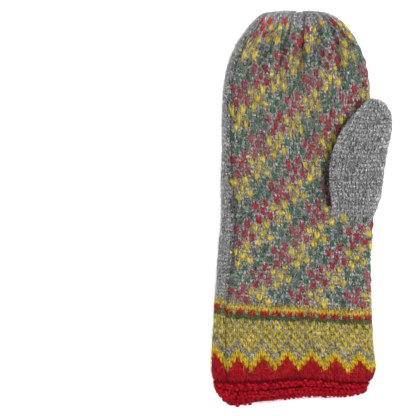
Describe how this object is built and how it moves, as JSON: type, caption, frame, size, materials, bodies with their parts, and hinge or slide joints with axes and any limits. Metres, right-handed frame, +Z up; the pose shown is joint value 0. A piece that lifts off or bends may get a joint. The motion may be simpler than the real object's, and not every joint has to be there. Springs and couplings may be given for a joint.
{
  "type": "knitted mitten",
  "caption": "Felted wool mitten for the right hand, lying palm up: ridged hem, patterned wrist band, hollow hand with a gathered tip, and a thumb laid over the palm.",
  "frame": {"origin": "centre of the mitten's outline, on the surface that it lies on", "axes": "+Y from the wrist to the fingertips, +X towards the thumb, +Z up out of the palm"},
  "size_m": [0.1259, 0.275, 0.0249],
  "materials": {
    "red_wool": "felted, matt",
    "band_wool": "felted, matt, yellow and grey lattice over red",
    "hand_wool": "felted, matt, grey melange with coloured stitches",
    "thumb_wool": "felted, matt, plain grey melange"
  },
  "bodies": {
    "root": {"hem": "red_wool", "cuff_band": "band_wool", "hand": "hand_wool", "thumb": "thumb_wool"}
  },
  "joints": []
}
